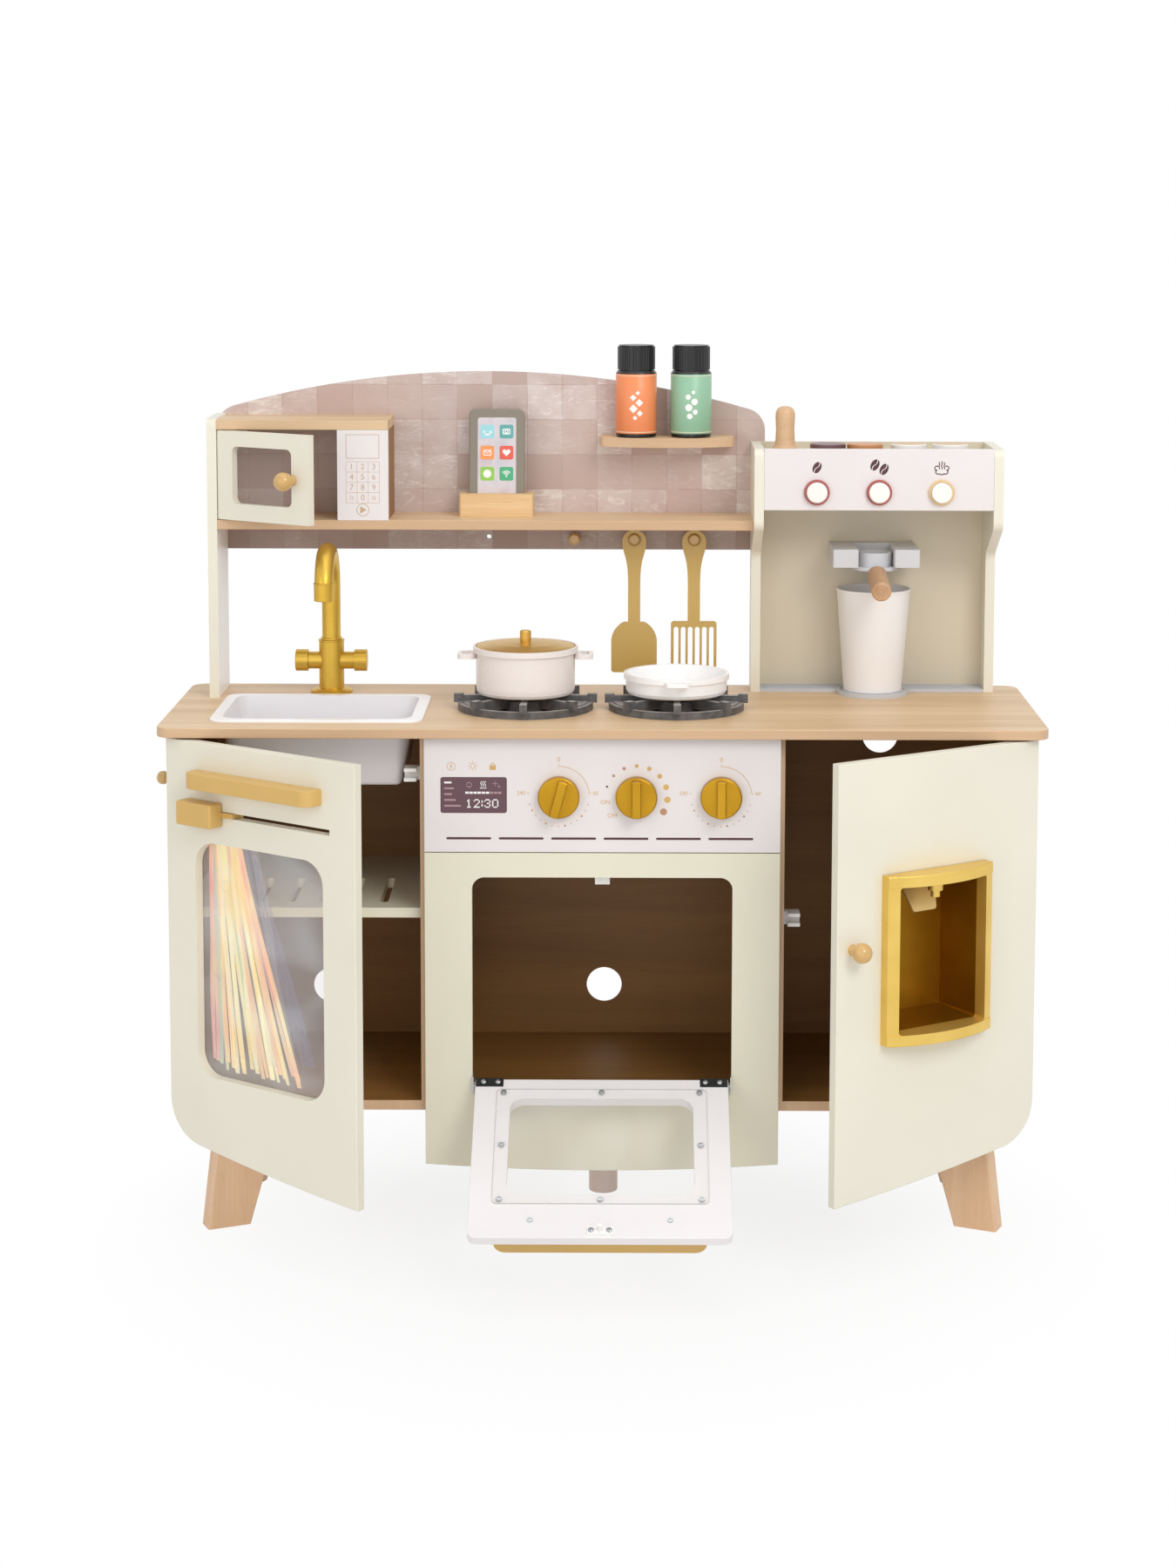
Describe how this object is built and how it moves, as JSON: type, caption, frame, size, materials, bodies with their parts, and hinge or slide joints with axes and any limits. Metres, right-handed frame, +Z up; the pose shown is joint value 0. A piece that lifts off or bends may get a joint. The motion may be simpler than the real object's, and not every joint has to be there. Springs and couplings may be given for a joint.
{
  "type": "play kitchen",
  "caption": "Wooden toy kitchen with sink, hob, oven, microwave, coffee corner, cupboard doors, drink dispenser and loose pots and tools.",
  "frame": {"origin": "on the floor below the middle of the whole object", "axes": "+X to the right seen from the front, +Y to the back, +Z up; the fronts face -Y"},
  "size_m": [1.084, 0.5394, 1.0903],
  "materials": {
    "light_wood": "clear satin lacquer over a fine straight grain",
    "leg_wood": "clear satin lacquer, solid wood",
    "dark_wood": "dark brown stained board",
    "white_paint": "smooth white satin paint on board",
    "cream_paint": "smooth cream satin paint on board",
    "gold_paint": "pearly gold paint on wood",
    "white_plastic": "glossy white plastic",
    "gold_plastic": "metallic gold lacquered plastic",
    "clear_plastic": "clear acrylic sheet",
    "film": "iridescent film",
    "tool_plastic": "satin gold-brown plastic",
    "grate_plastic": "dark grey plastic with worn lighter edges",
    "grey_plastic": "grey satin plastic",
    "black_plastic": "black satin plastic",
    "tile_print": "board with a printed tile pattern",
    "zinc": "zinc plated steel",
    "pod_paint": "satin paint in several colours"
  },
  "bodies": {
    "cabinet": {"countertop": "light_wood", "base_boards": "dark_wood", "base_back": "dark_wood", "slotted_shelf": "cream_paint", "legs": "leg_wood", "control_panel": "white_paint", "oven_front": "cream_paint", "sink_basin": "white_plastic", "faucet_body": "gold_plastic", "burner_grates": "grate_plastic", "backsplash": "tile_print", "upright_left": "cream_paint", "wood_shelves": "light_wood", "microwave_case": "light_wood", "microwave_keypad": "white_paint", "peg_hooks": "light_wood", "coffee_housing": "cream_paint", "coffee_front": "white_paint", "group_head": "grey_plastic", "drip_tray": "grey_plastic", "frame_hardware": "zinc", "phone_stand": "light_wood"},
    "left_door_leaf": {"left_door": "cream_paint", "left_door_window": "clear_plastic", "left_door_handle": "gold_paint", "left_door_hardware": "zinc"},
    "film_slider": {"slider_handle": "gold_paint", "film_strips": "film"},
    "right_door_leaf": {"right_door": "cream_paint", "dispenser_housing": "gold_plastic", "right_door_knob": "gold_paint", "right_door_hardware": "zinc"},
    "oven_door_leaf": {"oven_door": "white_paint", "oven_window": "clear_plastic", "oven_door_handle": "gold_paint", "oven_door_hardware": "black_plastic"},
    "microwave_leaf": {"microwave_door": "cream_paint", "microwave_window": "clear_plastic"},
    "dispenser_lever": {"dispenser_lever": "gold_plastic"},
    "oven_knob_left": {"oven_knob_left": "gold_paint"},
    "oven_knob_middle": {"oven_knob_middle": "gold_paint"},
    "oven_knob_right": {"oven_knob_right": "gold_paint"},
    "coffee_button_left": {"coffee_button_left": "cream_paint"},
    "coffee_button_middle": {"coffee_button_middle": "cream_paint"},
    "coffee_button_right": {"coffee_button_right": "cream_paint"},
    "faucet_spout": {"faucet_spout": "gold_plastic"},
    "faucet_tap_left": {"faucet_tap_left": "gold_plastic"},
    "faucet_tap_right": {"faucet_tap_right": "gold_plastic"},
    "portafilter": {"portafilter": "grey_plastic"},
    "pot": {"pot": "white_plastic"},
    "pot_lid": {"pot_lid": "gold_plastic"},
    "pan": {"pan": "white_plastic"},
    "cup": {"cup": "white_plastic"},
    "tamper": {"tamper": "light_wood"},
    "coffee_pods": {"coffee_pods": "pod_paint"},
    "spatula": {"spatula": "tool_plastic"},
    "turner": {"turner": "tool_plastic"},
    "salt_shaker": {"salt_shaker": "black_plastic"},
    "pepper_shaker": {"pepper_shaker": "black_plastic"},
    "phone": {"phone": "grey_plastic"}
  },
  "joints": [
    {"name": "left_door_hinge", "type": "hinge", "parent": "cabinet", "child": "left_door_leaf", "pos_m": [-0.5184, -0.03315, 0.4], "axis": [0, 0, -1], "range_deg": [-36, 60]},
    {"name": "film_slider_slide", "type": "slide", "parent": "left_door_leaf", "child": "film_slider", "axis": [0.809, -0.5878, 0], "range_m": [-0.0115, 0.1495], "deforming": ["film_strips"]},
    {"name": "right_door_hinge", "type": "hinge", "parent": "cabinet", "child": "right_door_leaf", "pos_m": [0.5184, -0.03315, 0.4], "axis": [0, 0, 1], "range_deg": [-33, 60]},
    {"name": "dispenser_lever_pivot", "type": "hinge", "parent": "right_door_leaf", "child": "dispenser_lever", "pos_m": [0.37391, -0.10075, 0.473], "axis": [0.8387, 0.5446, 0], "range_deg": [0, 25], "stiffness_Nm_per_rad": 0.02},
    {"name": "oven_door_hinge", "type": "hinge", "parent": "cabinet", "child": "oven_door_leaf", "pos_m": [0, -0.0476, 0.203], "axis": [1, 0, 0], "range_deg": [-120, 0]},
    {"name": "microwave_hinge", "type": "hinge", "parent": "cabinet", "child": "microwave_leaf", "pos_m": [-0.4825, 0.1635, 0.93], "axis": [0, 0, -1], "range_deg": [-33, 57]},
    {"name": "faucet_swivel", "type": "hinge", "parent": "cabinet", "child": "faucet_spout", "pos_m": [-0.35, 0.208, 0.75], "axis": [0, 0, 1], "range_deg": [-80, 80]},
    {"name": "oven_knob_left_turn", "type": "hinge", "parent": "cabinet", "child": "oven_knob_left", "pos_m": [-0.0525, -0.045, 0.5605], "axis": [0, -1, 0], "continuous": true},
    {"name": "oven_knob_middle_turn", "type": "hinge", "parent": "cabinet", "child": "oven_knob_middle", "pos_m": [0.041, -0.045, 0.5605], "axis": [0, -1, 0], "continuous": true},
    {"name": "oven_knob_right_turn", "type": "hinge", "parent": "cabinet", "child": "oven_knob_right", "pos_m": [0.143, -0.045, 0.5605], "axis": [0, -1, 0], "continuous": true},
    {"name": "faucet_tap_left_turn", "type": "hinge", "parent": "cabinet", "child": "faucet_tap_left", "pos_m": [-0.35, 0.208, 0.686], "axis": [1, 0, 0], "continuous": true},
    {"name": "faucet_tap_right_turn", "type": "hinge", "parent": "cabinet", "child": "faucet_tap_right", "pos_m": [-0.35, 0.208, 0.686], "axis": [1, 0, 0], "continuous": true},
    {"name": "coffee_button_left_press", "type": "slide", "parent": "cabinet", "child": "coffee_button_left", "axis": [0, 1, 0], "range_m": [0, 0.003], "stiffness_N_per_m": 200},
    {"name": "coffee_button_middle_press", "type": "slide", "parent": "cabinet", "child": "coffee_button_middle", "axis": [0, 1, 0], "range_m": [0, 0.003], "stiffness_N_per_m": 200},
    {"name": "coffee_button_right_press", "type": "slide", "parent": "cabinet", "child": "coffee_button_right", "axis": [0, 1, 0], "range_m": [0, 0.003], "stiffness_N_per_m": 200},
    {"name": "portafilter_pull", "type": "slide", "parent": "cabinet", "child": "portafilter", "axis": [0, -1, 0], "range_m": [0, 0.1]},
    {"name": "pot_lift", "type": "slide", "parent": "cabinet", "child": "pot", "axis": [0, 0, 1], "range_m": [0, 0.12]},
    {"name": "pot_lid_lift", "type": "slide", "parent": "pot", "child": "pot_lid", "axis": [0, 0, 1], "range_m": [0, 0.08]},
    {"name": "pan_lift", "type": "slide", "parent": "cabinet", "child": "pan", "axis": [0, 0, 1], "range_m": [0, 0.12]},
    {"name": "cup_pull", "type": "slide", "parent": "cabinet", "child": "cup", "axis": [0, -1, 0], "range_m": [0, 0.12]},
    {"name": "tamper_lift", "type": "slide", "parent": "cabinet", "child": "tamper", "axis": [0, 0, 1], "range_m": [0, 0.1]},
    {"name": "coffee_pods_lift", "type": "slide", "parent": "cabinet", "child": "coffee_pods", "axis": [0, 0, 1], "range_m": [0, 0.06]},
    {"name": "spatula_off_peg", "type": "slide", "parent": "cabinet", "child": "spatula", "axis": [0, -1, 0], "range_m": [0, 0.05]},
    {"name": "turner_off_peg", "type": "slide", "parent": "cabinet", "child": "turner", "axis": [0, -1, 0], "range_m": [0, 0.05]},
    {"name": "salt_shaker_lift", "type": "slide", "parent": "cabinet", "child": "salt_shaker", "axis": [0, 0, 1], "range_m": [0, 0.08]},
    {"name": "pepper_shaker_lift", "type": "slide", "parent": "cabinet", "child": "pepper_shaker", "axis": [0, 0, 1], "range_m": [0, 0.08]},
    {"name": "phone_lift", "type": "slide", "parent": "cabinet", "child": "phone", "axis": [0, 0.1392, 0.9903], "range_m": [0, 0.08]}
  ]
}
